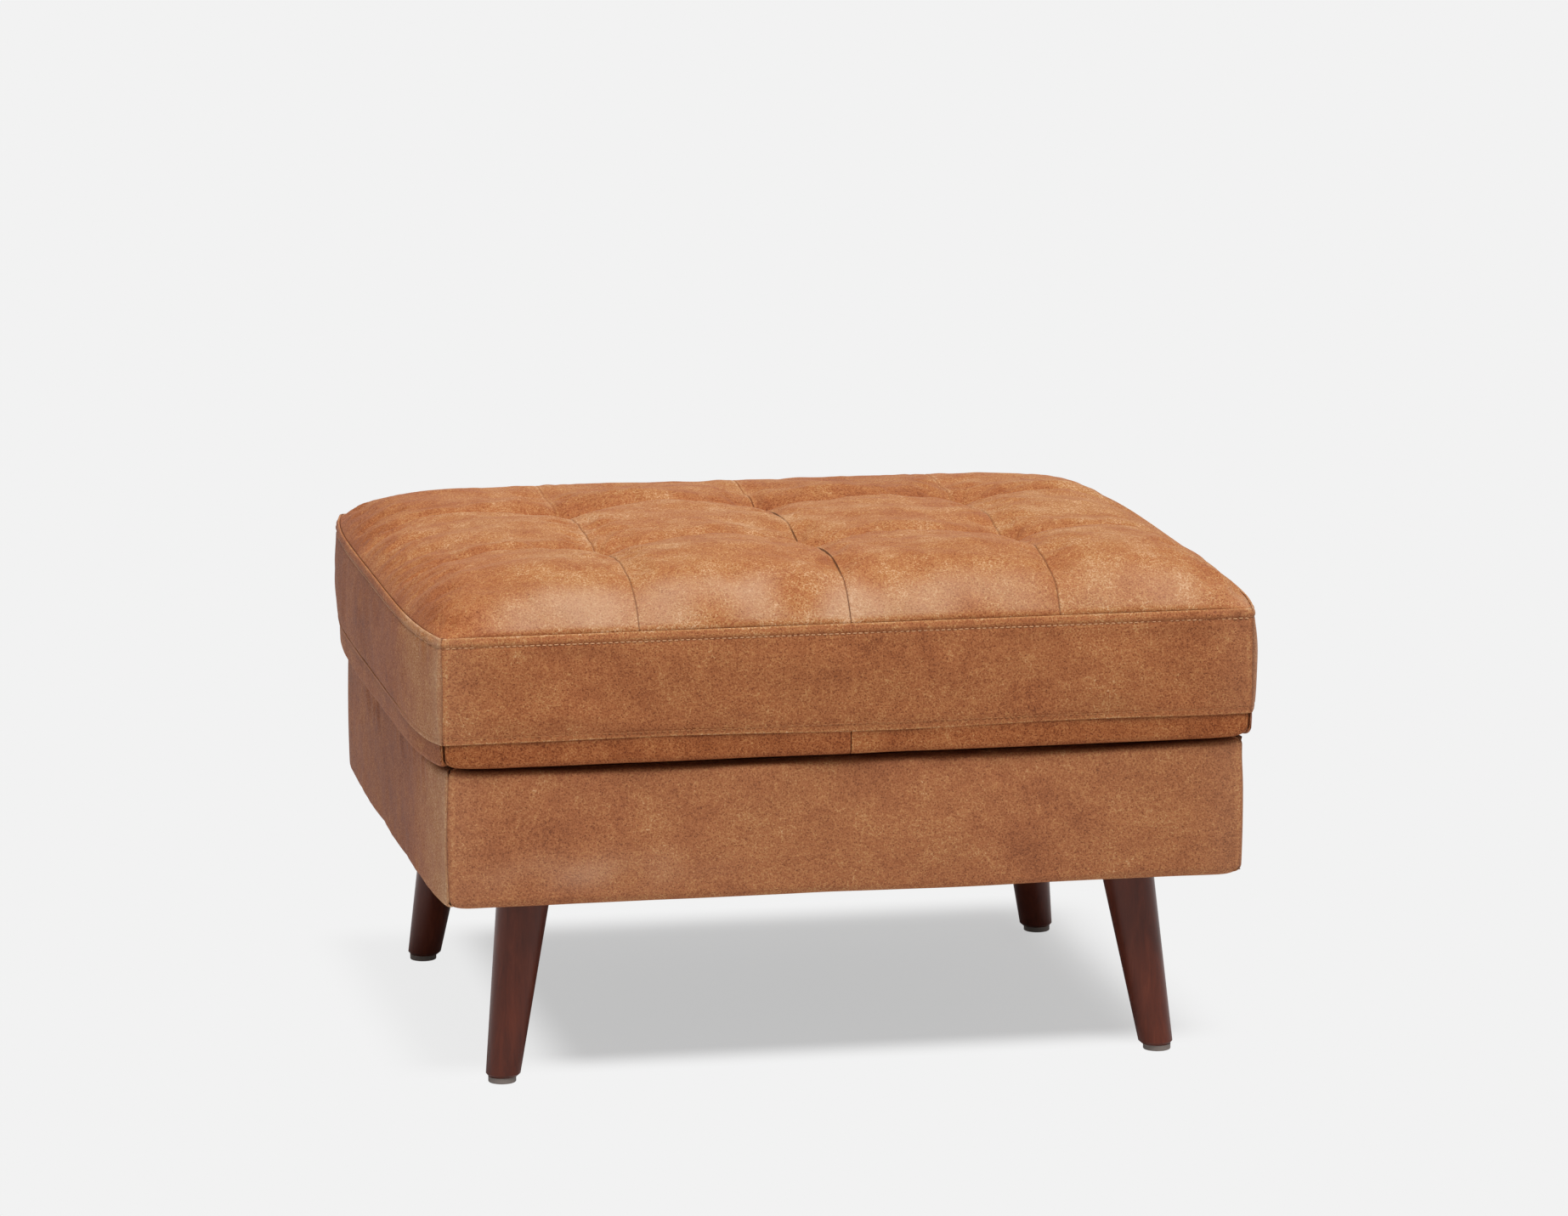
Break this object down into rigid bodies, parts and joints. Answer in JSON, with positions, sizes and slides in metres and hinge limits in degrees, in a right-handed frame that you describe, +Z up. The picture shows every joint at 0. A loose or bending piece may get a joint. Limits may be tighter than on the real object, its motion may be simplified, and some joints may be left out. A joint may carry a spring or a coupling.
{
  "type": "leather ottoman",
  "caption": "Low leather ottoman: padded box base on splayed round wooden legs, with a loose box cushion whose panelled top is drawn down at blind tufts.",
  "frame": {"origin": "on the floor under the centre of the ottoman", "axes": "+Z up, +X along the long side to the right seen from the front, -Y towards the front"},
  "size_m": [0.731, 0.608, 0.4531],
  "materials": {
    "leather": "pull-up cognac leather with a fine pebble grain, waxed satin",
    "leg_wood": "dark reddish-brown stain, satin lacquer",
    "glide": "matt grey",
    "frame_wood": "plain sawn softwood and plywood",
    "hardware": "zinc plated",
    "filling": "open foam and polyester fibre",
    "webbing": "woven elastic webbing",
    "platform_cloth": "black cloth",
    "tape": "brown woven tape",
    "zip_coil": "brown nylon coil",
    "zip_metal": "antique nickel",
    "washer": "pressed felt"
  },
  "bodies": {
    "base": {"frame_front_rail": "frame_wood", "frame_back_rail": "frame_wood", "frame_left_rail": "frame_wood", "frame_right_rail": "frame_wood", "frame_center_rail": "frame_wood", "corner_block_screws": "hardware", "front_left_corner_block": "frame_wood", "front_right_corner_block": "frame_wood", "back_left_corner_block": "frame_wood", "back_right_corner_block": "frame_wood", "front_left_leg": "leg_wood", "front_right_leg": "leg_wood", "back_left_leg": "leg_wood", "back_right_leg": "leg_wood", "front_left_glide": "glide", "front_right_glide": "glide", "back_left_glide": "glide", "back_right_glide": "glide", "leg_hanger_bolts": "hardware", "leg_tee_nuts": "hardware", "webbing_lengthwise": "webbing", "webbing_crosswise": "webbing", "deck_pad": "filling", "deck_cloth": "platform_cloth", "deck_loop_strips": "tape", "base_padding_front": "filling", "base_padding_back": "filling", "base_padding_left": "filling", "base_padding_right": "filling", "base_cover_front": "leather", "base_cover_back": "leather", "base_cover_left": "leather", "base_cover_right": "leather", "dust_cover": "platform_cloth", "dust_cover_staples": "hardware"},
    "cushion": {"boxing_front": "leather", "boxing_back": "leather", "boxing_left": "leather", "boxing_right": "leather", "lower_band_front_left": "leather", "lower_band_front_right": "leather", "lower_band_back": "leather", "lower_band_left": "leather", "lower_band_right": "leather", "bottom_panel": "platform_cloth", "cushion_hook_strips": "tape", "top_panels_front_row": "leather", "top_panels_middle_row": "leather", "top_panels_back_row": "leather", "fibre_quilt": "filling", "soft_foam_layer": "filling", "foam_core": "filling", "tuft_washers": "washer", "tuft_ties": "tape", "zip_tapes": "tape", "zip_coils": "zip_coil"},
    "zip_slider": {"zip_slider": "zip_metal"}
  },
  "joints": [
    {"name": "cushion_lift", "type": "slide", "parent": "base", "child": "cushion", "axis": [0, 0, 1], "range_m": [0, 0.2]},
    {"name": "zip_run", "type": "slide", "parent": "cushion", "child": "zip_slider", "axis": [-1, 0, 0], "range_m": [0, 0.51]}
  ]
}
